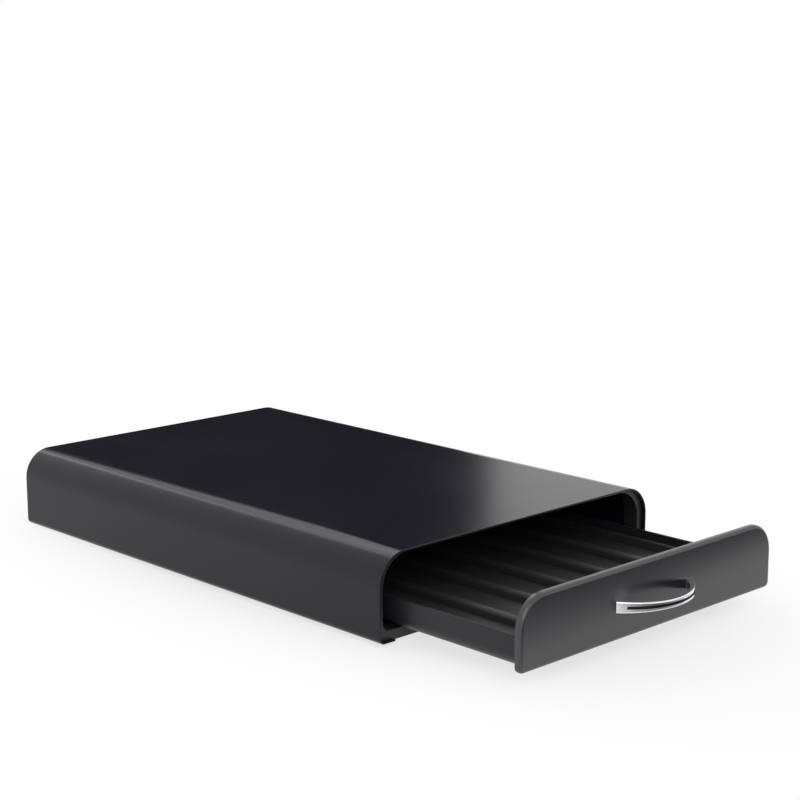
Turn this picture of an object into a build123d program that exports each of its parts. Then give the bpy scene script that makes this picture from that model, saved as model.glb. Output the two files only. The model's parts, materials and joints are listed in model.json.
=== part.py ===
from build123d import *
import os

# Capsule drawer that stands under a coffee machine. Millimetres, +Z up. The drawer
# opens towards -Y, and +X is to the right of someone who faces it. The origin is the
# middle of the case's flat underside. The drawer is built part-way open.

# ---- Case: one folded steel sheet over a base plate -------------------------------
case_width = 308.0
case_depth = 471.0
case_height = 68.0
shell_wall = 1.5
top_bend = 25.0  # outside radius along the two long top edges
bottom_bend = 5.0  # outside radius along the two long bottom edges
return_width = 16.0  # folded edge under the case, measured from its side
shell_edge_round = 0.6  # on the open front edge of the sheet
shell_edge_bevel = 0.3  # on its back edge

base_wall = 1.2
base_edge_gap = 0.5  # between the base plate and the shell's folded edge and bends
dimple_gap = 0.4  # round a foot or a screw's head in the dimple pressed into the plate
head_sink = 0.2  # screw heads stay this far above the plate's flat underside

foot_radius = 8.0
foot_height = 2.5  # below the plate's flat underside
foot_sink = 0.8  # depth of the dimple that holds the foot
foot_edge_bevel = 0.8
foot_inset_x = 48.0  # foot centre from the case's side
foot_inset_y = 30.0  # foot centre from the case's front or back

# ---- Front frame and back cover: mouldings that plug into the shell ----------------
insert_gap = 0.2  # between a moulding and the shell around it
frame_setback = 3.8  # frame's face behind the shell's front edge
frame_depth = 14.0
frame_side_bar = 5.3
frame_top_bar = 1.8
sill_top = 8.4
mouth_radius = 24.0  # top corners of the mouth, and of the drawer front in it
mouth_edge_round = 0.8
cover_setback = 2.0
cover_depth = 13.0
cover_wall = 2.5
cover_edge_round = 0.8
cover_boss_radius = 4.5
cover_boss_height = 8.0

glide_width = 24.0
glide_length = 9.0
glide_seat = 1.5  # depth of the pocket in the sill
glide_rise = 0.8  # height above the sill
glide_inset = 24.0  # glide centre from the tray's side
glide_edge_round = 0.4
pocket_gap = 0.15

bumper_radius = 5.0
bumper_height = 4.0
bumper_x = 100.0
bumper_z = 24.0
bumper_crown = 1.5

# ---- Drawer --------------------------------------------------------------------------
drawer_open = 130.6  # drawer front ahead of its closed place, as shown
drawer_travel = 320.0  # from closed to the stops
running_gap = 0.3

panel_gap = 1.0  # between the drawer front and the mouth
panel_thickness = 5.6
panel_face_wall = 2.6
panel_rim = 3.0
panel_bottom_radius = 5.0
panel_edge_round = 3.0
panel_back_round = 0.5
rib_width = 1.8
rib_relief = 0.5  # ribs stop short of the rim's back
rib_count = 5

tray_wall = 2.0
tray_side_gap = 9.0  # tray's side to the mouth's side
tray_height = 24.0
tray_bottom_radius = 10.0
tray_corner_radius = 3.0
tray_rim_round = 0.6
tray_lift = 1.1  # tray's underside above the sill
upstand_top = 56.0  # top of the tray's front wall, above the case's underside
upstand_radius = 18.0

# ---- Pod rack ------------------------------------------------------------------------
channel_width = 37.6
ridge_width = 7.6
rack_wall = 1.6
rack_floor_rise = 8.0  # rack's floor above the tray's floor
ridge_rise = 7.5  # ridge's top above the rack's floor
tongue_depth = 6.0  # each ridge's tongue reaches down into a groove of the rack
edge_tongue_depth = 3.0  # over the tray's rounded edge
tongue_gap = 0.1
rack_side_gap = 0.3
rack_rib_count = 6
edge_ridge_round = 1.5
edge_ridge_least = 3.5  # narrowest ridge along the tray's side

# ---- Slides --------------------------------------------------------------------------
rail_wall = 1.2
rail_bend = 2.0
rail_foot_width = 14.0
rail_step = 6.2  # lower flange above the foot
rail_channel_height = 19.6
rail_lip = 8.5
rail_shell_gap = 2.7
rail_tray_inset = 6.0  # rail's riser inboard of the tray's side
rail_end_gap = 0.5
tab_edge = 2.0  # stop tab inside the channel's top and bottom
shoe_length = 28.0
shoe_inset = 8.0  # shoe behind the tray's back
shoe_end_round = 3.0
peg_radius = 2.5
peg_spacing = 16.0
peg_drop = 4.5  # peg's centre below the shoe's top

# ---- Handle --------------------------------------------------------------------------
handle_half_span = 44.4
handle_reach = 23.0
handle_foot_thickness = 7.2
handle_bow_thickness = 3.2
handle_foot_height = 9.0
handle_bow_height = 6.2
handle_z = 35.0
handle_edge_round = 0.9
groove_height = 2.2
groove_depth = 1.0
groove_start = 6.0  # the groove's ends are this far off the drawer front

# ---- Fasteners -----------------------------------------------------------------------
hole_gap = 0.2  # round a shank in a clearance hole
thread_gap = 0.15  # round a shank in its threaded hole
screw_radius = 1.5
screw_head_radius = 3.0
screw_head_height = 1.3
screw_bite = 4.5  # length held in a moulding
rail_screw_count = 3
rail_screw_end = 30.0  # first and last rail screw from the rail's ends
base_screw_x = 95.0
front_screw_bite = 4.0
handle_screw_radius = 1.5
handle_head_radius = 3.5
handle_head_height = 2.2
handle_screw_bite = 3.2
handle_screw_inset = 0.6  # wall between the screw's hole and the foot's inner side
head_bevel = 0.6  # share of a screw's or rivet's head height that slopes
panel_boss_radius = 4.2
handle_boss_radius = 5.0
front_screw_z = (31.5, 49.0)
front_screw_column = 2  # on the line of this ridge, counted from the middle one
rivet_radius = 1.6
rivet_head_radius = 3.2
rivet_head_height = 1.0
rivet_tail_radius = 2.6
rivet_count = 5
rivet_inset = 10.5  # rivet centre from the case's side
rivet_end_gap = 40.0

# ---- Places worked out from the sizes above ------------------------------------------
case_half = case_width / 2
front_y = -case_depth / 2
back_y = case_depth / 2

plate_half = case_half - bottom_bend - base_edge_gap
field_half = case_half - return_width - base_edge_gap - shell_wall
flange_top = shell_wall + base_wall
head_dimple_radius = screw_head_radius + dimple_gap
head_dimple_depth = screw_head_height + head_sink
screw_seat = base_wall + head_dimple_depth

insert_half = case_half - shell_wall - insert_gap
insert_top = case_height - shell_wall - insert_gap
insert_radius = top_bend - shell_wall - insert_gap
insert_bottom_radius = bottom_bend - shell_wall - insert_gap
mouth_half = insert_half - frame_side_bar
mouth_top = insert_top - frame_top_bar
frame_front = front_y + frame_setback
frame_back = frame_front + frame_depth
cover_back = back_y - cover_setback
cover_front = cover_back - cover_depth
cover_face = cover_back - cover_wall

panel_half = mouth_half - panel_gap
panel_top = mouth_top - panel_gap
panel_bottom = sill_top + panel_gap
panel_front = front_y - drawer_open
panel_back = panel_front + panel_thickness

tray_half = mouth_half - tray_side_gap
tray_bottom = sill_top + tray_lift
tray_floor = tray_bottom + tray_wall
tray_top = tray_bottom + tray_height
tray_back = cover_face - bumper_height - running_gap - drawer_open
tray_inside_front = panel_back + tray_wall
tray_inside_back = tray_back - tray_wall
tray_inside_half = tray_half - tray_wall

pitch = channel_width + ridge_width
rack_half = tray_inside_half - rack_side_gap
channel_count = int((2 * (rack_half - edge_ridge_least) + ridge_width) / pitch)  # as many as fit
rack_floor = tray_floor + rack_floor_rise
rack_front = tray_inside_front + rack_side_gap
rack_back = tray_inside_back - (tray_corner_radius - tray_wall)
ridge_top = rack_floor + ridge_rise
ridge_round_z = ridge_top - ridge_width / 2
groove_half = rack_wall / 2 + tongue_gap
leg_half = groove_half + rack_wall
edge_ridge_x = rack_half - leg_half
edge_channel_x = pitch * (channel_count - 1) / 2 + channel_width / 2

rail_outer = case_half - shell_wall - rail_shell_gap
rail_riser = tray_half - rail_tray_inset
rail_shelf = base_wall + rail_step
rail_top = rail_shelf + rail_channel_height
rail_front = frame_back + rail_end_gap
rail_back = cover_front - rail_end_gap
rail_screw_x = rail_riser - rail_foot_width / 2

shoe_back = tray_back - shoe_inset
shoe_front = shoe_back - shoe_length
shoe_bottom = rail_shelf + rail_wall + running_gap
shoe_top = rail_top - rail_wall - running_gap
shoe_outer = rail_outer - rail_wall - running_gap
peg_z = shoe_top - peg_drop
tab_back = shoe_front + drawer_open - drawer_travel - running_gap

glide_x = tray_half - glide_inset
glide_top = sill_top + glide_rise
handle_foot_inside = handle_half_span - handle_foot_thickness
handle_screw_x = handle_foot_inside + handle_screw_inset + thread_gap + handle_screw_radius
front_screw_x = front_screw_column * pitch
rivet_x = case_half - rivet_inset
rivet_first_y = front_y + rivet_end_gap


# ---- Helpers ---------------------------------------------------------------------------
def along_y(section, near, far):
    """A section drawn across and up, run from y = near to y = far."""
    plane = Plane(origin=(0, far, 0), x_dir=(1, 0, 0), z_dir=(0, -1, 0))
    return extrude(plane * section, amount=far - near)


def band(left, right, low, high):
    """A plain rectangle between two distances across and two heights."""
    return Pos((left + right) / 2, (low + high) / 2) * Rectangle(right - left, high - low)


def arched(half, low, high, top_radius, low_radius):
    """A rectangle with one radius on its top corners and another on its bottom ones."""
    shape = band(-half, half, low, high)
    if top_radius > 0:
        shape = fillet(shape.vertices().group_by(Axis.Y)[-1], top_radius)
    if low_radius > 0:
        shape = fillet(shape.vertices().group_by(Axis.Y)[0], low_radius)
    return shape


def spread(first, last, count):
    """Evenly spaced values from first to last."""
    step = (last - first) / (count - 1)
    return [first + step * number for number in range(count)]


def both_sides(solid):
    """A right-hand solid and its mirror image on the left."""
    return solid, mirror(solid, about=Plane.YZ)


def pin(radius, low, high, x, y):
    """An upright round bar or hole."""
    return Pos(x, y, low) * extrude(Circle(radius), amount=high - low)


def bar_along_y(radius, near, far, x, z):
    """A round bar or hole that lies along Y."""
    return along_y(Pos(x, z) * Circle(radius), near, far)


def side_pin(radius, near, far, y):
    """A round bar or hole across the tray's side, between two distances from the middle."""
    plane = Plane(origin=(near, y, peg_z), z_dir=(1, 0, 0))
    return extrude(plane * Circle(radius), amount=far - near)


def headed_pin(head_radius, head_height, shank_radius, shank_length):
    """A screw with its head above z = 0 and its shank below."""
    head = extrude(Circle(head_radius), amount=head_height)
    head = chamfer(head.edges().group_by(Axis.Z)[-1], head_height * head_bevel)
    return head + pin(shank_radius, -shank_length, 0, 0, 0)


def save(node, shape):
    shape.label = node
    export_step(shape, "parts/" + node + ".step")


# ---- Case --------------------------------------------------------------------------------
def rivet_places():
    ys = spread(rivet_first_y, -rivet_first_y, rivet_count)
    return [(x, y) for x in (-rivet_x, rivet_x) for y in ys]


def outer_shell():
    outer = arched(case_half, 0, case_height, top_bend, bottom_bend)
    inner = arched(
        case_half - shell_wall,
        shell_wall,
        case_height - shell_wall,
        top_bend - shell_wall,
        bottom_bend - shell_wall,
    )
    gap = case_half - return_width
    underside = band(-gap, gap, -bottom_bend, bottom_bend)
    shell = along_y(outer - inner - underside, front_y, back_y)
    shell = fillet(shell.faces().sort_by(Axis.Y)[0].edges(), shell_edge_round)
    shell = chamfer(shell.faces().sort_by(Axis.Y)[-1].edges(), shell_edge_bevel)
    for x, y in rivet_places():
        shell -= pin(rivet_radius + hole_gap, 0, shell_wall, x, y)
    return shell


def plate_top_line():
    """The top surface of the stepped base plate, from left to right."""
    step = field_half + shell_wall
    return [
        (-plate_half, flange_top),
        (-step, flange_top),
        (-field_half, base_wall),
        (field_half, base_wall),
        (step, flange_top),
        (plate_half, flange_top),
    ]


def base_screw_places():
    """Screws that come up through the base plate, into the frame and the cover."""
    rows = ((frame_front + frame_back) / 2, (cover_front + cover_face) / 2)
    return [(x, y) for y in rows for x in (-base_screw_x, 0, base_screw_x)]


def rail_screw_places():
    ys = spread(rail_front + rail_screw_end, rail_back - rail_screw_end, rail_screw_count)
    return [(x, y) for x in (-rail_screw_x, rail_screw_x) for y in ys]


def foot_places():
    x = case_half - foot_inset_x
    y = back_y - foot_inset_y
    return {"front_left": (-x, -y), "front_right": (x, -y), "rear_left": (-x, y), "rear_right": (x, y)}


def dimpled(plate, radius, depth, x, y):
    """The plate with a round step pressed upwards."""
    plate += pin(radius + base_wall, base_wall, base_wall + depth, x, y)
    return plate - pin(radius, 0, depth, x, y)


def base_plate():
    top = plate_top_line()
    under = [(x, z - base_wall) for x, z in reversed(top)]
    section = make_face(Polyline(*top, *under, close=True))
    plate = along_y(section, frame_front, cover_back)
    for x, y in foot_places().values():
        plate = dimpled(plate, foot_radius + dimple_gap, foot_sink, x, y)
    for x, y in base_screw_places():
        plate = dimpled(plate, head_dimple_radius, head_dimple_depth, x, y)
        plate -= pin(screw_radius + hole_gap, head_dimple_depth, screw_seat, x, y)
    for x, y in rail_screw_places():
        plate -= pin(screw_radius + thread_gap, 0, flange_top, x, y)
    for x, y in rivet_places():
        plate -= pin(rivet_radius + hole_gap, 0, flange_top, x, y)
    return plate


def insert_outline():
    """Outline of a moulding that fills the shell and stands on the base plate."""
    low = shell_wall + insert_gap
    body = arched(insert_half, low, insert_top, insert_radius, insert_bottom_radius)
    tongue = band(-field_half, field_half, base_wall, flange_top)
    edge = plate_half + insert_gap
    line = [(-edge, 0), (-edge, flange_top), *plate_top_line()[1:-1], (edge, flange_top), (edge, 0)]
    return body + tongue - make_face(Polyline(*line, close=True))


def drilled_for_base_screw(moulding, x, y):
    """The moulding with room for the plate's dimple and a pilot hole above it."""
    moulding -= pin(head_dimple_radius + base_wall + pocket_gap, 0, screw_seat, x, y)
    return moulding - pin(screw_radius + thread_gap, screw_seat, screw_seat + screw_bite, x, y)


def front_frame():
    mouth = arched(mouth_half, sill_top, mouth_top, mouth_radius, panel_bottom_radius + panel_gap)
    frame = along_y(insert_outline() - mouth, frame_front, frame_back)
    lip = frame.faces().sort_by(Axis.Y)[0].inner_wires()[0]
    frame = fillet(lip.edges(), mouth_edge_round)
    middle = (frame_front + frame_back) / 2
    pocket = Box(glide_width + 2 * pocket_gap, glide_length + 2 * pocket_gap, 2 * glide_seat)
    for x in (-glide_x, glide_x):
        frame -= Pos(x, middle, sill_top) * pocket
    for x in (-base_screw_x, 0, base_screw_x):
        frame = drilled_for_base_screw(frame, x, middle)
    return frame


def back_cover():
    cover = along_y(insert_outline(), cover_front, cover_back)
    cover = fillet(cover.faces().sort_by(Axis.Y)[-1].edges(), cover_edge_round)
    hollow = arched(
        insert_half - cover_wall,
        flange_top + cover_wall,
        insert_top - cover_wall,
        insert_radius - cover_wall,
        bottom_bend - cover_wall,
    )
    cover -= along_y(hollow, cover_front, cover_face)
    middle = (cover_front + cover_face) / 2
    for x in (-base_screw_x, 0, base_screw_x):
        cover += pin(cover_boss_radius, flange_top, base_wall + cover_boss_height, x, middle)
        cover = drilled_for_base_screw(cover, x, middle)
    return cover


def glide():
    """Nylon pad in the sill, under the right side of the tray."""
    height = glide_seat + glide_rise
    pad = Pos(glide_x, (frame_front + frame_back) / 2, glide_top - height / 2)
    pad *= Box(glide_width, glide_length, height)
    return fillet(pad.faces().sort_by(Axis.Z)[-1].edges(), glide_edge_round)


def foot(x, y):
    disc = pin(foot_radius, -foot_height, foot_sink, x, y)
    return chamfer(disc.edges().group_by(Axis.Z)[0], foot_edge_bevel)


def bumper():
    """Rubber button on the back cover, behind the right side of the tray."""
    button = bar_along_y(bumper_radius, cover_face - bumper_height, cover_face, bumper_x, bumper_z)
    return fillet(button.edges().group_by(Axis.Y)[0], bumper_crown)


# ---- Slides ------------------------------------------------------------------------------
def rail():
    """Right-hand rail: a foot on the base plate, a shelf and a channel open to the tray."""
    line = FilletPolyline(
        (rail_riser - rail_foot_width, base_wall),
        (rail_riser, base_wall),
        (rail_riser, rail_shelf),
        (rail_outer, rail_shelf),
        (rail_outer, rail_top),
        (rail_outer - rail_lip, rail_top),
        radius=rail_bend,
    )
    section = make_face(offset(line, amount=rail_wall, side=Side.LEFT, closed=True))
    strip = along_y(section, rail_front, rail_back)
    low = rail_shelf + rail_wall + tab_edge
    high = rail_top - rail_wall - tab_edge
    reach = rail_lip - rail_wall
    window = band(rail_outer - rail_wall, rail_outer, low, high)
    tab = band(rail_outer - rail_wall - reach, rail_outer - rail_wall, low, high)
    tab_front = tab_back - rail_wall
    strip -= along_y(window, tab_front - reach, tab_front)
    strip += along_y(tab, tab_front, tab_back)
    for x, y in rail_screw_places():
        strip -= pin(screw_radius + hole_gap, 0, rail_shelf / 2, x, y)
    return strip


def shoe():
    """Right-hand nylon shoe near the tray's back, with two pegs through the tray's side."""
    section = band(tray_half, shoe_outer, shoe_bottom, shoe_top)
    block = along_y(section, shoe_front, shoe_back)
    outer_face = block.faces().sort_by(Axis.X)[-1]
    block = fillet(outer_face.edges().filter_by(Axis.Z), shoe_end_round)
    for y in peg_ys():
        block += side_pin(peg_radius, tray_inside_half, tray_half, y)
    return block


def peg_ys():
    middle = (shoe_front + shoe_back) / 2
    return middle - peg_spacing / 2, middle + peg_spacing / 2


# ---- Drawer ------------------------------------------------------------------------------
def tray():
    outline = arched(tray_half, tray_bottom, tray_top, 0, tray_bottom_radius)
    tub = along_y(outline, panel_back, tray_back)
    rim = tub.faces().sort_by(Axis.Y)[-1].edges()
    tub = fillet(rim.sort_by(Axis.Z)[:-1], tray_corner_radius)
    inside = arched(tray_inside_half, tray_floor, tray_top, 0, tray_bottom_radius - tray_wall)
    hollow = along_y(inside, tray_inside_front, tray_inside_back)
    rim = hollow.faces().sort_by(Axis.Y)[-1].edges()
    hollow = fillet(rim.sort_by(Axis.Z)[:-1], tray_corner_radius - tray_wall)
    tub -= hollow
    tub = fillet(tub.faces().sort_by(Axis.Z)[-1].edges(), tray_rim_round)
    upstand = arched(tray_half, tray_floor + tray_bottom_radius, upstand_top, upstand_radius, 0)
    tub += along_y(upstand, panel_back, tray_inside_front)
    for x, z in front_screw_places():
        tub -= bar_along_y(screw_radius + hole_gap, panel_back, tray_inside_front, x, z)
    for x in (-handle_screw_x, handle_screw_x):
        tub -= bar_along_y(handle_screw_radius + hole_gap, panel_back, tray_inside_front, x, handle_z)
    for y in peg_ys():
        for hole in both_sides(side_pin(peg_radius + thread_gap, tray_inside_half, tray_half, y)):
            tub -= hole
    return tub


def ridge_xs():
    """Middles of the ridges between channels, from left to right."""
    last = pitch * (channel_count - 2) / 2
    return spread(-last, last, channel_count - 1)


def rack_grooves():
    """Middle and depth of the groove for each ridge's tongue, from left to right."""
    middle = [(x, tongue_depth) for x in ridge_xs()]
    return [(-edge_ridge_x, edge_tongue_depth), *middle, (edge_ridge_x, edge_tongue_depth)]


def pod_rack():
    """Moulded floor of the channels, on legs and cross ribs, with a groove for each ridge."""
    corner = tray_bottom_radius - tray_wall - rack_side_gap
    solid = arched(rack_half, tray_floor, rack_floor, 0, corner)
    for x, depth in rack_grooves():
        solid -= band(x - groove_half, x + groove_half, rack_floor - depth - tongue_gap, rack_floor)
    section = solid
    xs = [x for x, depth in rack_grooves()]
    for left, right in zip(xs, xs[1:]):
        section -= band(left + leg_half, right - leg_half, tray_floor, rack_floor - rack_wall)
    rack = along_y(section, rack_front, rack_back)
    for y in spread(rack_front, rack_back - rack_wall, rack_rib_count):
        rack += along_y(solid, y, y + rack_wall)
    return rack


def tongue(x, depth):
    return band(x - rack_wall / 2, x + rack_wall / 2, rack_floor - depth, rack_floor)


def ridge():
    """Round-topped ridge at the middle, with a web down to its tongue and a core on each side."""
    half = ridge_width / 2
    section = band(-half, half, rack_floor, ridge_round_z) + Pos(0, ridge_round_z) * Circle(half)
    for left, right in ((rack_wall - half, -rack_wall / 2), (rack_wall / 2, half - rack_wall)):
        section -= band(left, right, rack_floor, ridge_round_z)
    return along_y(section + tongue(0, tongue_depth), rack_front, rack_back)


def edge_ridge():
    """Ridge along the right side of the tray."""
    section = band(edge_channel_x, rack_half, rack_floor, ridge_top)
    section = fillet(section.vertices().group_by(Axis.Y)[-1], edge_ridge_round)
    section += tongue(edge_ridge_x, edge_tongue_depth)
    return along_y(section, rack_front, rack_back)


def rack_ridges():
    return [Pos(x, 0, 0) * ridge() for x in ridge_xs()] + list(both_sides(edge_ridge()))


def front_screw_places():
    return [(x, z) for x in (-front_screw_x, front_screw_x) for z in front_screw_z]


def drawer_front():
    outline = arched(panel_half, panel_bottom, panel_top, mouth_radius, panel_bottom_radius)
    panel = along_y(outline, panel_front, panel_back)
    panel = fillet(panel.faces().sort_by(Axis.Y)[0].edges(), panel_edge_round)
    panel = fillet(panel.faces().sort_by(Axis.Y)[-1].edges(), panel_back_round)
    recess = arched(
        panel_half - panel_rim,
        panel_bottom + panel_rim,
        panel_top - panel_rim,
        mouth_radius - panel_rim,
        panel_bottom_radius - panel_rim,
    )
    recess_front = panel_front + panel_face_wall
    panel -= along_y(recess, recess_front, panel_back)
    ribs = band(-panel_half, panel_half, handle_z - rib_width / 2, handle_z + rib_width / 2)
    for x in spread(-front_screw_x, front_screw_x, rib_count):
        ribs += band(x - rib_width / 2, x + rib_width / 2, panel_bottom, panel_top)
    panel += along_y(ribs & recess, recess_front, panel_back - rib_relief)
    for x, z in front_screw_places():
        panel += bar_along_y(panel_boss_radius, recess_front, panel_back, x, z)
        panel -= bar_along_y(screw_radius + thread_gap, panel_back - front_screw_bite, panel_back, x, z)
    for x in (-handle_screw_x, handle_screw_x):
        panel += bar_along_y(handle_boss_radius, recess_front, panel_back, x, handle_z)
        panel -= bar_along_y(handle_screw_radius + hole_gap, panel_front, panel_back, x, handle_z)
    return panel


def bow_outline(half, reach):
    """An arc between two points on the drawer front, closed along it."""
    return make_face(ThreePointArc((-half, 0), (0, -reach), (half, 0)) + Line((half, 0), (-half, 0)))


def handle_face():
    """The handle as seen from the front: lower in the middle than at its feet."""
    tall = handle_foot_height / 2
    low = handle_bow_height / 2
    half = handle_half_span
    top = ThreePointArc((-half, tall), (0, low), (half, tall))
    bottom = ThreePointArc((half, -tall), (0, -low), (-half, -tall))
    return make_face(top + bottom + Line((half, tall), (half, -tall)) + Line((-half, -tall), (-half, tall)))


def handle():
    outer = bow_outline(handle_half_span, handle_reach)
    inner = bow_outline(handle_foot_inside, handle_reach - handle_bow_thickness)
    middle = Pos(0, 0, -handle_foot_height / 2)
    bow = extrude(middle * (outer - inner), amount=handle_foot_height)
    bow &= along_y(handle_face(), -handle_reach, 0)
    edges = bow.faces().sort_by(Axis.Z)[-1].edges() + bow.faces().sort_by(Axis.Z)[0].edges()
    bow = fillet(edges.filter_by(lambda edge: edge.center().Y < -groove_depth), handle_edge_round)
    floor = bow_outline(handle_half_span - groove_depth, handle_reach - groove_depth)
    trough = outer - floor - band(-handle_half_span, handle_half_span, -groove_start, 0)
    bow -= extrude(Pos(0, 0, -groove_height / 2) * trough, amount=groove_height)
    for x in (-handle_screw_x, handle_screw_x):
        bow -= bar_along_y(handle_screw_radius + thread_gap, -handle_screw_bite, 0, x, 0)
    return Pos(0, panel_front, handle_z) * bow


# ---- Fasteners ---------------------------------------------------------------------------
def screws_up(places):
    """Screws with their heads in the base plate's dimples and their shanks upwards."""
    length = base_wall + screw_bite - hole_gap
    screw = headed_pin(screw_head_radius, screw_head_height, screw_radius, length)
    return [Pos(x, y, head_dimple_depth) * Rot(X=180) * screw for x, y in places]


def rail_screws():
    screw = headed_pin(screw_head_radius, screw_head_height, screw_radius, rail_wall + base_wall)
    return [Pos(x, y, base_wall + rail_wall) * screw for x, y in rail_screw_places()]


def base_rivets():
    rivet = Rot(X=180) * headed_pin(rivet_head_radius, rivet_head_height, rivet_radius, flange_top)
    tail = extrude(Circle(rivet_tail_radius), amount=rivet_head_height)
    tail = chamfer(tail.edges().group_by(Axis.Z)[-1], rivet_head_height * head_bevel)
    rivet += Pos(0, 0, flange_top) * tail
    return [Pos(x, y, 0) * rivet for x, y in rivet_places()]


def front_screws():
    length = tray_wall + front_screw_bite - hole_gap
    screw = Rot(X=-90) * headed_pin(screw_head_radius, screw_head_height, screw_radius, length)
    return [Pos(x, tray_inside_front, z) * screw for x, z in front_screw_places()]


def handle_screws():
    length = tray_wall + panel_thickness + handle_screw_bite - hole_gap
    screw = headed_pin(handle_head_radius, handle_head_height, handle_screw_radius, length)
    places = (-handle_screw_x, handle_screw_x)
    return [Pos(x, tray_inside_front, handle_z) * Rot(X=-90) * screw for x in places]


# ---- Build -------------------------------------------------------------------------------
os.makedirs("parts", exist_ok=True)

save("outer_shell", outer_shell())
save("base_plate", base_plate())
save("front_frame", front_frame())
save("back_cover", back_cover())
save("tray", tray())
save("pod_rack", pod_rack())
save("rack_ridges", Compound(children=rack_ridges()))
save("drawer_front", drawer_front())
save("handle", handle())

for node, right_hand in (("rail", rail()), ("glide", glide()), ("bumper", bumper()), ("shoe", shoe())):
    right, left = both_sides(right_hand)
    save("right_" + node, right)
    save("left_" + node, left)

for place, (foot_x, foot_y) in foot_places().items():
    save("foot_" + place, foot(foot_x, foot_y))

save("frame_screws", Compound(children=screws_up(base_screw_places()[:3])))
save("cover_screws", Compound(children=screws_up(base_screw_places()[3:])))
save("rail_screws", Compound(children=rail_screws()))
save("base_rivets", Compound(children=base_rivets()))
save("front_screws", Compound(children=front_screws()))
save("handle_screws", Compound(children=handle_screws()))
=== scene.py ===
import json
import math

import bmesh
import bpy
from mathutils import Matrix, Vector


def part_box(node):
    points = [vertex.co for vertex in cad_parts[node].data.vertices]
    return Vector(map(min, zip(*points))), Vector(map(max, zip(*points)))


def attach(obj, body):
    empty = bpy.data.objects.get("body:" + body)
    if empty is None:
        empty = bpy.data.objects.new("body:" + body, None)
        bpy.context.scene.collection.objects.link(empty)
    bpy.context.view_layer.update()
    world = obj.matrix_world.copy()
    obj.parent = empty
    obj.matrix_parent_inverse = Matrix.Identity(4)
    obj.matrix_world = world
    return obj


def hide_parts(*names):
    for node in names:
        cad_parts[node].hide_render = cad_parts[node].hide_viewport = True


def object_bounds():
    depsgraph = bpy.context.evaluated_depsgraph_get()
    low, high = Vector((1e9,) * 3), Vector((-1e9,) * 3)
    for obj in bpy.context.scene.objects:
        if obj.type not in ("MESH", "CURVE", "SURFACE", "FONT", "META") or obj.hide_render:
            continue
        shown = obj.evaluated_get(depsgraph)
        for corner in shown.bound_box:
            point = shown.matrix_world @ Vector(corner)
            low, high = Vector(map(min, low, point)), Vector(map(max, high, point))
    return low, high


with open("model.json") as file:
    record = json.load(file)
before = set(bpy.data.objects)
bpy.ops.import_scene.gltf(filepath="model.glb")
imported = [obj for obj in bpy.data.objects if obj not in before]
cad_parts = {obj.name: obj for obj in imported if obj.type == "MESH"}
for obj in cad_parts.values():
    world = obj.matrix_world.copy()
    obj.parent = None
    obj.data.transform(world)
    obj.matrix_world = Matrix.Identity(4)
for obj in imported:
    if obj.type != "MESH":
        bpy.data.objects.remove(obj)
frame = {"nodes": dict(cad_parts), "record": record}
cad_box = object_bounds()

# Lengths are metres, in the part's frame: the drawer opens towards -Y, +Z is up, and the
# origin is the middle of the case's flat underside.
MM = 0.001

# ---- Camera --------------------------------------------------------------------------
CAMERA_PLACE = Vector((-0.99879, -1.13606, 0.43187))
CAMERA_TURN = 43.86  # degrees from +Y towards +X
CAMERA_DIP = 11.383  # degrees below level
CAMERA_ROLL = -0.086  # degrees
CAMERA_LENS = 79.89  # mm
CAMERA_SENSOR = 36.0  # mm wide
CAMERA_LIMIT = 50.0  # sees no further than this

# ---- Light and stage -----------------------------------------------------------------
FLOOR_SIZE = 14.0
FLOOR_TONES = ((0.86, 0.86, 0.86), (0.88, 0.88, 0.88))  # the paper drifts between them
FLOOR_GLOW_NEAR = 0.72  # share of pure white close to the part, where its shadow lies
FLOOR_GLOW_START = 1.05  # in the part's own half sizes, from its middle
FLOOR_GLOW_END = 1.7
WORLD_FILL = 0.8  # strength for every ray but the camera's, gloss and glass
# Two soft square lamps, in metres and watts, aimed at the part.
KEY_PLACE = Vector((0.8, 1.85, 1.75))
KEY_SIZE = 1.4
KEY_POWER = 7.0
FILL_PLACE = Vector((-1.4, -2.0, 1.5))
FILL_SIZE = 1.8
FILL_POWER = 14.0
# Dark cards that show only in the part's gloss: one stands behind it, one lies in front.
FLAG_BEHIND = (Vector((0.7, 3.0, 0.0)), Vector((2.75, 2.37, 0.0)))  # its foot, left to right
FLAG_HEIGHT = 2.5
FLAG_IN_FRONT = (Vector((-0.2, -0.4, 0.0)), Vector((0.9, -0.54, 0.0)))  # its nearest edge
FLAG_REACH = 0.26
FLAG_FADE = 0.11  # the card in front darkens over this length from that edge
FLAG_CRISP = 0.001  # the same for the card behind

# ---- Fasteners -----------------------------------------------------------------------
RECESS_ARM = 0.66  # half length of a cross arm, as a share of the head's flat
RECESS_WIDTH = 0.2  # half width of a cross arm, as a share of the head's flat
RECESS_DEPTH = 0.6  # share of the head's height
RECESS_TAPER = 0.55  # size of the cross at its bottom
HEAD_STEPS = 40
HEAD_SLOPE = 0.6  # share of the head's height that slopes
DOME_STEPS = 6
SHARP_ANGLE = math.radians(32)  # edges that turn more than this stay crisp
GOLDEN_ANGLE = math.radians(137.5)  # turns each cross away from its neighbour's
SCREW_SHANK = 1.5 * MM
SCREW_HEAD = (3.0 * MM, 1.3 * MM)  # radius and height
HANDLE_SCREW_HEAD = (3.5 * MM, 2.2 * MM)
RIVET_SHANK = 1.6 * MM
RIVET_HEAD = (3.2 * MM, 1.0 * MM)
RIVET_TAIL = (2.6 * MM, 1.0 * MM)
HEAD_UP = Matrix.Identity(3)
HEAD_DOWN = Matrix.Rotation(math.pi, 3, "X")
HEAD_BACK = Matrix.Rotation(-math.pi / 2, 3, "X")
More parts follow.
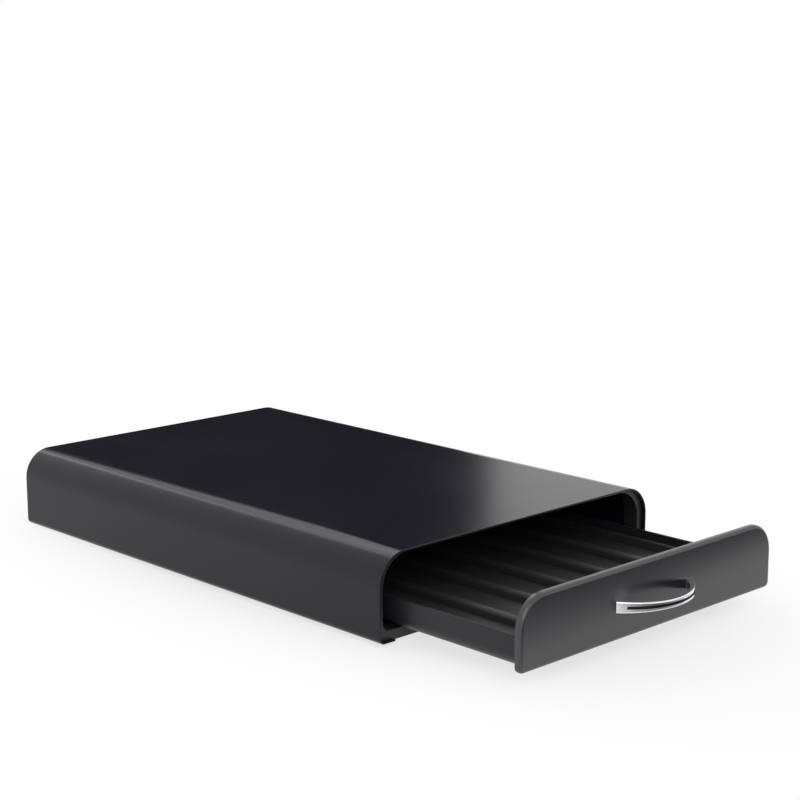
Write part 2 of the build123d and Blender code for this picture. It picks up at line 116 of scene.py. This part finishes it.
# Node, its heads, the way they face, and how many there are along X, Y and Z.
SCREW_GROUPS = (
    ("frame_screws", SCREW_HEAD, HEAD_DOWN, (3, 1, 1)),
    ("cover_screws", SCREW_HEAD, HEAD_DOWN, (3, 1, 1)),
    ("rail_screws", SCREW_HEAD, HEAD_UP, (2, 3, 1)),
    ("front_screws", SCREW_HEAD, HEAD_BACK, (2, 1, 2)),
    ("handle_screws", HANDLE_SCREW_HEAD, HEAD_BACK, (2, 1, 1)),
)
RIVET_GROUP = ("base_rivets", RIVET_HEAD, HEAD_DOWN, (2, 5, 1))

# ---- Handle --------------------------------------------------------------------------
# The groove along the handle's face gets painted shade: the chrome turns dark over this band.
GROOVE_HALF = 1.15 * MM  # half the height of the groove along the handle's face
GROOVE_SKIN = 0.25 * MM  # from the face to where the dark of the groove begins
GROOVE_DEPTH = 1.6 * MM


# ---- Materials -----------------------------------------------------------------------
class Nodes:
    """The node tree of a new material or world, with short ways to add and join nodes."""

    def __init__(self, owner):
        self.owner = owner
        owner.use_nodes = True
        self.tree = owner.node_tree
        self.tree.nodes.clear()

    def add(self, kind, **settings):
        node = self.tree.nodes.new(kind)
        for name, value in settings.items():
            setattr(node, name, value)
        return node

    def join(self, source, target):
        self.tree.links.new(source, target)

    def feed(self, value, socket):
        """Joins a pattern to a socket, or sets a plain number or colour on the socket."""
        if isinstance(value, bpy.types.NodeSocket):
            self.join(value, socket)
        elif isinstance(value, tuple):
            socket.default_value = (*value, 1)
        else:
            socket.default_value = value

    def place(self):
        """The point's place in the part's frame."""
        return self.add("ShaderNodeTexCoord").outputs["Object"]

    def axes(self):
        """The three numbers of that place."""
        node = self.add("ShaderNodeSeparateXYZ")
        self.join(self.place(), node.inputs["Vector"])
        return node.outputs["X"], node.outputs["Y"], node.outputs["Z"]

    def noise(self, size, detail=3.0, roughness=0.55, stretch=(1, 1, 1)):
        """Noise with features of about the given size, in metres."""
        mapping = self.add("ShaderNodeMapping")
        mapping.inputs["Scale"].default_value = [1 / (size * s) for s in stretch]
        self.join(self.place(), mapping.inputs["Vector"])
        texture = self.add("ShaderNodeTexNoise")
        texture.inputs["Scale"].default_value = 1.0
        texture.inputs["Detail"].default_value = detail
        texture.inputs["Roughness"].default_value = roughness
        self.join(mapping.outputs["Vector"], texture.inputs["Vector"])
        return texture.outputs["Fac"]

    def grain(self, size):
        """Rounded pebbles of about the given size, as moulded texture has."""
        texture = self.add("ShaderNodeTexVoronoi", feature="SMOOTH_F1")
        texture.inputs["Scale"].default_value = 1 / size
        self.join(self.place(), texture.inputs["Vector"])
        return texture.outputs["Distance"]

    def spread(self, value, low, high, start=0.3, end=0.7):
        """Maps a 0 to 1 pattern onto values from low to high."""
        node = self.add("ShaderNodeMapRange")
        node.inputs["From Min"].default_value = start
        node.inputs["From Max"].default_value = end
        node.inputs["To Min"].default_value = low
        node.inputs["To Max"].default_value = high
        self.join(value, node.inputs["Value"])
        return node.outputs["Result"]

    def blend(self, factor, first, second):
        """A colour between two others, by a 0 to 1 pattern."""
        node = self.add("ShaderNodeMix", data_type="RGBA")
        colours = [socket for socket in node.inputs if socket.type == "RGBA"]
        self.feed(first, colours[0])
        self.feed(second, colours[1])
        self.join(factor, node.inputs["Factor"])
        return next(socket for socket in node.outputs if socket.type == "RGBA")

    def total(self, first, second, share):
        """first plus a share of second."""
        node = self.add("ShaderNodeMath", operation="MULTIPLY_ADD")
        node.inputs[1].default_value = share
        self.join(second, node.inputs[0])
        self.join(first, node.inputs[2])
        return node.outputs["Value"]

    def math(self, operation, first, second=0.0):
        """One step of arithmetic on numbers or patterns."""
        node = self.add("ShaderNodeMath", operation=operation)
        self.feed(first, node.inputs[0])
        self.feed(second, node.inputs[1])
        return node.outputs["Value"]

    def distance(self, first, second):
        """Length of the hypotenuse over two patterns."""
        squares = [self.math("POWER", side, 2.0) for side in (first, second)]
        return self.math("SQRT", self.math("ADD", *squares))

    def mix(self, factor, first, second):
        """A shader between two others, by a 0 to 1 pattern."""
        node = self.add("ShaderNodeMixShader")
        self.join(factor, node.inputs["Fac"])
        self.join(first, node.inputs[1])
        self.join(second, node.inputs[2])
        return node.outputs["Shader"]

    def cloth(self, colour):
        """A dull shader of a colour."""
        shader = self.add("ShaderNodeBsdfDiffuse")
        self.join(colour, shader.inputs["Color"])
        return shader.outputs["BSDF"]

    def clear(self):
        return self.add("ShaderNodeBsdfTransparent").outputs["BSDF"]

    def end(self, surface, kind="ShaderNodeOutputMaterial"):
        """Ends the tree in a shader, and returns what the tree belongs to."""
        self.join(surface, self.add(kind).inputs["Surface"])
        return self.owner

    def finish(self, colour, roughness, height, depth, metallic=0.0, ior=1.5, specular=0.5):
        """Ends the material in one shader. depth is the height of the bumps in metres."""
        bump = self.add("ShaderNodeBump")
        bump.inputs["Strength"].default_value = 1.0
        bump.inputs["Distance"].default_value = depth
        self.join(height, bump.inputs["Height"])
        shader = self.add("ShaderNodeBsdfPrincipled")
        shader.inputs["Metallic"].default_value = metallic
        shader.inputs["IOR"].default_value = ior
        shader.inputs["Specular IOR Level"].default_value = specular
        self.join(colour, shader.inputs["Base Color"])
        self.join(roughness, shader.inputs["Roughness"])
        self.join(bump.outputs["Normal"], shader.inputs["Normal"])
        return self.end(shader.outputs["BSDF"])


def new_material(name):
    return Nodes(bpy.data.materials.new(name))


def shell_paint():
    """Satin black powder coat: fine orange peel, slow drifts in its gloss."""
    n = new_material("shell_paint")
    drift = n.noise(0.09, detail=2.0)
    speck = n.noise(0.0007, detail=1.0)
    peel = n.noise(0.0022, detail=2.0)
    colour = n.blend(speck, (0.0068, 0.0062, 0.0112), (0.0115, 0.0108, 0.0175))
    roughness = n.spread(drift, 0.165, 0.2)
    return n.finish(colour, roughness, n.total(peel, speck, 0.35), 0.00002, ior=1.36)


def base_paint():
    """Matt black paint on the plate underneath, with rubbed patches."""
    n = new_material("base_paint")
    rubbed = n.noise(0.05, detail=5.0, roughness=0.65)
    speck = n.noise(0.0012)
    colour = n.blend(rubbed, (0.017, 0.017, 0.018), (0.034, 0.034, 0.036))
    return n.finish(colour, n.spread(rubbed, 0.62, 0.5), speck, 0.00004)


def rail_steel():
    """Dark coated strip, burnished along the way the shoes run."""
    n = new_material("rail_steel")
    streak = n.noise(0.0012, detail=4.0, stretch=(1, 60, 1))
    colour = n.blend(streak, (0.022, 0.022, 0.024), (0.055, 0.055, 0.058))
    return n.finish(colour, n.spread(streak, 0.5, 0.34), streak, 0.00001, metallic=0.4)


def frame_plastic():
    """Matt moulding with a fine even grain."""
    n = new_material("frame_plastic")
    drift = n.noise(0.04, detail=2.0)
    colour = n.blend(drift, (0.014, 0.014, 0.015), (0.02, 0.02, 0.022))
    return n.finish(colour, n.spread(drift, 0.46, 0.54), n.grain(0.0006), 0.00003)


def front_plastic():
    """Satin moulding of the drawer front, with faint finger marks."""
    n = new_material("front_plastic")
    marks = n.noise(0.03, detail=5.0, roughness=0.7)
    speck = n.noise(0.0006, detail=1.0)
    colour = n.blend(speck, (0.0075, 0.0072, 0.0112), (0.0105, 0.0101, 0.0148))
    return n.finish(colour, n.spread(marks, 0.21, 0.26), speck, 0.000005, ior=1.75)


def tray_plastic():
    """Satin moulding of the tray, with the flow of the plastic just showing."""
    n = new_material("tray_plastic")
    flow = n.noise(0.012, detail=4.0, stretch=(1, 6, 1))
    colour = n.blend(flow, (0.0105, 0.0102, 0.0138), (0.0185, 0.018, 0.0232))
    return n.finish(colour, n.spread(flow, 0.34, 0.44), n.grain(0.0007), 0.00002, ior=1.4)


def rack_plastic():
    """Matt grain in the channels, rubbed a little along their length."""
    n = new_material("rack_plastic")
    rub = n.noise(0.02, detail=5.0, roughness=0.6, stretch=(1, 4, 1))
    colour = n.blend(rub, (0.016, 0.016, 0.017), (0.028, 0.028, 0.03))
    return n.finish(colour, n.spread(rub, 0.56, 0.42), n.grain(0.0008), 0.00004)


def nylon():
    """Smooth nylon, dulled where it has run."""
    n = new_material("nylon")
    wear = n.noise(0.006, detail=4.0)
    colour = n.blend(wear, (0.03, 0.03, 0.031), (0.05, 0.05, 0.052))
    return n.finish(colour, n.spread(wear, 0.3, 0.45), wear, 0.00002)


def rubber():
    """Matt rubber with a trace of dust."""
    n = new_material("rubber")
    dust = n.noise(0.003, detail=5.0)
    colour = n.blend(dust, (0.02, 0.02, 0.02), (0.036, 0.035, 0.034))
    return n.finish(colour, n.spread(dust, 0.7, 0.86), dust, 0.00005, specular=0.35)


def bow_centre(low, high):
    """Middle and radius of the handle's outer arc, from its box."""
    half = (high.x - low.x) / 2
    reach = high.y - low.y
    radius = (half ** 2 + reach ** 2) / (2 * reach)
    return Vector(((low.x + high.x) / 2, low.y + radius, (low.z + high.z) / 2)), radius


def groove_shade_mask(n):
    """1 inside the groove along the handle's face, where the chrome gets painted shade, 0
    elsewhere.
    """
    centre, radius = bow_centre(*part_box("handle"))
    x, y, z = n.axes()
    across = n.math("SUBTRACT", x, centre.x)
    along = n.math("SUBTRACT", y, centre.y)
    out = n.distance(across, along)
    inside = n.math("LESS_THAN", out, radius - GROOVE_SKIN)
    near_face = n.math("GREATER_THAN", out, radius - GROOVE_DEPTH)
    height = n.math("ABSOLUTE", n.math("SUBTRACT", z, centre.z))
    level = n.math("LESS_THAN", height, GROOVE_HALF)
    return n.math("MULTIPLY", n.math("MULTIPLY", inside, near_face), level)


def chrome():
    """Bright plating with a breath of smudges and fine polishing lines, and painted shade in the
    groove along its face.
    """
    n = new_material("chrome")
    smudge = n.noise(0.008, detail=5.0, roughness=0.65)
    lines = n.noise(0.0005, detail=2.0, stretch=(14, 1, 1))
    bright = n.blend(smudge, (0.82, 0.81, 0.84), (0.92, 0.91, 0.93))
    # Painted shade: a dark purplish colour in the groove, standing in for the shade and dark
    # reflection there.
    dark = n.blend(smudge, (0.02, 0.015, 0.028), (0.05, 0.04, 0.06))
    groove = groove_shade_mask(n)
    roughness = n.math("ADD", n.spread(smudge, 0.05, 0.12), n.math("MULTIPLY", groove, 0.3))
    colour = n.blend(groove, bright, dark)
    return n.finish(colour, roughness, lines, 0.0000015, metallic=1.0)


def screw_steel():
    """Dark zinc, with turning marks and a mottled passivated film."""
    n = new_material("screw_steel")
    film = n.noise(0.0015, detail=4.0)
    colour = n.blend(film, (0.16, 0.155, 0.15), (0.3, 0.295, 0.285))
    return n.finish(colour, n.spread(film, 0.28, 0.44), film, 0.00001, metallic=1.0)


def rivet_metal():
    """Painted rivets with a mottled film."""
    n = new_material("rivet_metal")
    film = n.noise(0.002, detail=4.0)
    colour = n.blend(film, (0.06, 0.06, 0.062), (0.1, 0.1, 0.104))
    return n.finish(colour, n.spread(film, 0.36, 0.5), film, 0.00001, metallic=0.6)


def dress_nodes():
    """Gives each node of the part the material of its slot in the record."""
    makers = (
        shell_paint, base_paint, rail_steel, frame_plastic, front_plastic, tray_plastic,
        rack_plastic, nylon, rubber, chrome, screw_steel, rivet_metal,
    )
    materials = {maker.__name__: maker() for maker in makers}
    for subpart in frame["record"]["subparts"]:
        mesh = frame["nodes"][subpart["node"]].data
        mesh.materials.clear()
        mesh.materials.append(materials[subpart["material_slot"]])
    return materials


# ---- Fasteners' shapes ---------------------------------------------------------------
def ring(bm, radius, height):
    """Vertices round the Z axis."""
    turns = [2 * math.pi * step / HEAD_STEPS for step in range(HEAD_STEPS)]
    return [bm.verts.new((radius * math.cos(a), radius * math.sin(a), height)) for a in turns]


def join_rings(bm, first, second):
    """Faces between two loops of as many vertices."""
    for here, there in zip(range(len(first)), [*range(1, len(first)), 0]):
        bm.faces.new((first[here], first[there], second[there], second[here]))


def lathe(bm, profile):
    """Loops of vertices for a list of radii and heights, joined up; returns the first and last."""
    loops = [ring(bm, radius, height) for radius, height in profile]
    for first, second in zip(loops, loops[1:]):
        join_rings(bm, first, second)
    return loops[0], loops[-1]


def cross_outline(bm, size, height):
    """The twelve corners of a cross, at a share of its full size."""
    arm, width = RECESS_ARM * size, RECESS_WIDTH * size
    quarter = [(arm, -width), (arm, width), (width, width)]
    corners = []
    for turn in range(4):
        turned = Matrix.Rotation(turn * math.pi / 2, 2)
        corners += [turned @ Vector(corner) for corner in quarter]
    return [bm.verts.new((corner.x, corner.y, height)) for corner in corners]


def loop_edges(bm, loop):
    """The edges round a loop of vertices, made where there is none."""
    return [bm.edges.get(pair) or bm.edges.new(pair) for pair in zip(loop, [*loop[1:], loop[0]])]


def add_screw(bm, head, length):
    """A screw with a bevelled head above z = 0, a cross recess in it, and its shank below."""
    radius, height = head
    flat = radius - height * HEAD_SLOPE
    profile = [(SCREW_SHANK, -length), (SCREW_SHANK, 0), (radius, 0)]
    profile += [(radius, height * (1 - HEAD_SLOPE)), (flat, height)]
    tip, rim = lathe(bm, profile)
    bm.faces.new(tip[::-1])
    mouth = cross_outline(bm, flat, height)
    floor = cross_outline(bm, flat * RECESS_TAPER, height * (1 - RECESS_DEPTH))
    join_rings(bm, mouth, floor)
    bm.faces.new(floor)
    bmesh.ops.triangle_fill(bm, edges=loop_edges(bm, rim) + loop_edges(bm, mouth))


def dome(size, sign, start):
    """Profile of a domed head from its rim to its crown, upwards or downwards."""
    radius, height = size
    turns = [math.pi / 2 * step / DOME_STEPS for step in range(DOME_STEPS)]
    return [(radius * math.cos(a), start + sign * height * math.sin(a)) for a in turns]


def add_rivet(bm, head, length):
    """A rivet with its domed head above z = 0, and its tail below the sheets that it grips."""
    grip = length - RIVET_TAIL[1]
    profile = [*reversed(dome(RIVET_TAIL, -1, -grip)), (RIVET_SHANK, -grip), (RIVET_SHANK, 0)]
    tail, crown = lathe(bm, [*profile, *dome(head, 1, 0)])
    bm.faces.new(tail[::-1])
    bm.faces.new(crown)


def evenly(low, high, count):
    """Middles of as many things, spread from one limit to the other."""
    if count == 1:
        return [(low + high) / 2]
    return [low + (high - low) * number / (count - 1) for number in range(count)]


def fastener_places(node, head, turn, counts):
    """Where the heads of a node's fasteners sit, and the length from there to their tips."""
    low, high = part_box(node)
    radius, height = head
    facing = turn @ Vector((0, 0, 1))
    rows = []
    for axis, count in enumerate(counts):
        if abs(facing[axis]) > 0.5:
            outer = high[axis] if facing[axis] > 0 else low[axis]
            length = high[axis] - low[axis] - height
            rows.append([outer - facing[axis] * height])
        else:
            rows.append(evenly(low[axis] + radius, high[axis] - radius, count))
    return [Vector((x, y, z)) for x in rows[0] for y in rows[1] for z in rows[2]], length


def body_of(node):
    """The moving body that a node belongs to."""
    bodies = frame["record"]["behaviour"]["bodies"]
    return next(body for body, nodes in bodies.items() if node in nodes)


def fastener_mesh(group, add_one):
    """A mesh of all of a group's fasteners, each one's cross turned away from the last."""
    node, head, turn, counts = group
    places, length = fastener_places(*group)
    bm = bmesh.new()
    for number, place in enumerate(places):
        before = set(bm.verts)
        add_one(bm, head, length)
        spin = Matrix.Rotation(number * GOLDEN_ANGLE, 3, "Z")
        for vertex in set(bm.verts) - before:
            vertex.co = turn @ spin @ vertex.co + place
    bmesh.ops.recalc_face_normals(bm, faces=bm.faces)
    mesh = bpy.data.meshes.new(node + "_detail")
    bm.to_mesh(mesh)
    bm.free()
    mesh.shade_smooth()
    mesh.set_sharp_from_angle(angle=SHARP_ANGLE)
    return mesh


def add_fasteners(group, slot, add_one, materials):
    """One detailed piece that stands for a node of like fasteners."""
    node = group[0]
    mesh = fastener_mesh(group, add_one)
    mesh.materials.append(materials[slot])
    piece = bpy.data.objects.new(node + "_detail", mesh)
    bpy.context.scene.collection.objects.link(piece)
    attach(piece, body_of(node))
    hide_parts(node)


def add_all_fasteners(materials):
    for group in SCREW_GROUPS:
        add_fasteners(group, "screw_steel", add_screw, materials)
    add_fasteners(RIVET_GROUP, "rivet_metal", add_rivet, materials)


# ---- Stage ---------------------------------------------------------------------------
def floor_glow(n, low, high):
    """How much of the floor's light is its own, to the camera and in gloss: less round the
    part, where the rest shows its shadow."""
    x, y, _ = n.axes()
    middle, half = (low + high) / 2, (high - low) / 2
    across = n.math("DIVIDE", n.math("SUBTRACT", x, middle.x), half.x)
    along = n.math("DIVIDE", n.math("SUBTRACT", y, middle.y), half.y)
    far = n.distance(across, along)
    glow = n.spread(far, FLOOR_GLOW_NEAR, 1.0, FLOOR_GLOW_START, FLOOR_GLOW_END)
    path = n.add("ShaderNodeLightPath")
    seen = n.math("MAXIMUM", path.outputs["Is Camera Ray"], path.outputs["Is Glossy Ray"])
    return n.math("MULTIPLY", glow, seen)


def floor_paper(low, high):
    """Pale paper: pure white to the camera and in gloss, but for the part's soft shadow, and
    clear from underneath."""
    n = new_material("floor_paper")
    colour = n.blend(n.noise(0.4, detail=2.0), FLOOR_TONES[0], FLOOR_TONES[1])
    white = n.add("ShaderNodeEmission").outputs["Emission"]
    above = n.mix(floor_glow(n, low, high), n.cloth(colour), white)
    below = n.add("ShaderNodeNewGeometry").outputs["Backfacing"]
    return n.end(n.mix(below, above, n.clear()))


def add_floor(low, high):
    bpy.ops.mesh.primitive_plane_add(size=FLOOR_SIZE, location=(0, 0, low.z))
    floor = bpy.context.object
    floor.name = "floor"
    floor.data.materials.append(floor_paper(low, high))


def flag_cloth(name, start, sweep, fade):
    """Black cloth, see-through at a starting point and whole at a fade's length from it."""
    n = new_material(name)
    colour = n.blend(n.noise(0.01, detail=2.0), (0.02, 0.02, 0.022), (0.03, 0.03, 0.032))
    way = n.add("ShaderNodeVectorMath", operation="SUBTRACT")
    n.join(n.place(), way.inputs[0])
    way.inputs[1].default_value = start
    depth = n.add("ShaderNodeVectorMath", operation="DOT_PRODUCT")
    n.join(way.outputs["Vector"], depth.inputs[0])
    depth.inputs[1].default_value = sweep.normalized()
    whole = n.spread(depth.outputs["Value"], 0.0, 1.0, 0.0, fade)
    return n.end(n.mix(whole, n.clear(), n.cloth(colour)))


def add_flag(name, edge, sweep, fade):
    """A dark card that only gloss shows, from an edge swept along a vector."""
    start, end = edge
    mesh = bpy.data.meshes.new(name)
    mesh.from_pydata([start, end, end + sweep, start + sweep], [], [(0, 1, 2, 3)])
    mesh.materials.append(flag_cloth(name + "_cloth", start, sweep, fade))
    flag = bpy.data.objects.new(name, mesh)
    bpy.context.scene.collection.objects.link(flag)
    flag.visible_camera = False
    flag.visible_diffuse = False
    flag.visible_transmission = False
    flag.visible_shadow = False


def add_world():
    """White where the camera, gloss or glass meets it, a plain soft fill for the rest."""
    n = Nodes(bpy.data.worlds.new("studio"))
    rays = n.add("ShaderNodeLightPath").outputs
    seen = n.math("MAXIMUM", rays["Is Camera Ray"], rays["Is Glossy Ray"])
    seen = n.math("MAXIMUM", seen, rays["Is Transmission Ray"])
    background = n.add("ShaderNodeBackground")
    background.inputs["Color"].default_value = (1, 1, 1, 1)
    n.join(n.spread(seen, WORLD_FILL, 1.0, 0.0, 1.0), background.inputs["Strength"])
    bpy.context.scene.world = n.end(background.outputs["Background"], "ShaderNodeOutputWorld")


def add_area(name, place, size, power):
    """A square soft light aimed at the part."""
    data = bpy.data.lights.new(name, "AREA")
    data.size = size
    data.energy = power
    lamp = bpy.data.objects.new(name, data)
    lamp.location = place
    lamp.rotation_euler = (-place).to_track_quat("-Z", "Y").to_euler()
    bpy.context.scene.collection.objects.link(lamp)


def add_camera():
    """A camera that stands and looks as the photograph's did."""
    data = bpy.data.cameras.new("camera")
    data.lens = CAMERA_LENS
    data.sensor_width = CAMERA_SENSOR
    data.clip_end = CAMERA_LIMIT
    camera = bpy.data.objects.new("camera", data)
    level = Matrix.Rotation(math.radians(-CAMERA_TURN), 4, "Z")
    tilt = Matrix.Rotation(math.radians(90 - CAMERA_DIP), 4, "X")
    roll = Matrix.Rotation(math.radians(CAMERA_ROLL), 4, "Z")
    camera.matrix_world = Matrix.Translation(CAMERA_PLACE) @ level @ tilt @ roll
    bpy.context.scene.collection.objects.link(camera)
    bpy.context.scene.camera = camera


# ---- Scene ---------------------------------------------------------------------------
materials = dress_nodes()
add_all_fasteners(materials)
add_floor(*cad_box)
add_flag("flag_behind", FLAG_BEHIND, Vector((0, 0, FLAG_HEIGHT)), FLAG_CRISP)
add_flag("flag_in_front", FLAG_IN_FRONT, Vector((0, -FLAG_REACH, 0)), FLAG_FADE)
add_world()
add_area("key", KEY_PLACE, KEY_SIZE, KEY_POWER)
add_area("fill", FILL_PLACE, FILL_SIZE, FILL_POWER)
add_camera()
bpy.context.scene.view_settings.view_transform = "Standard"
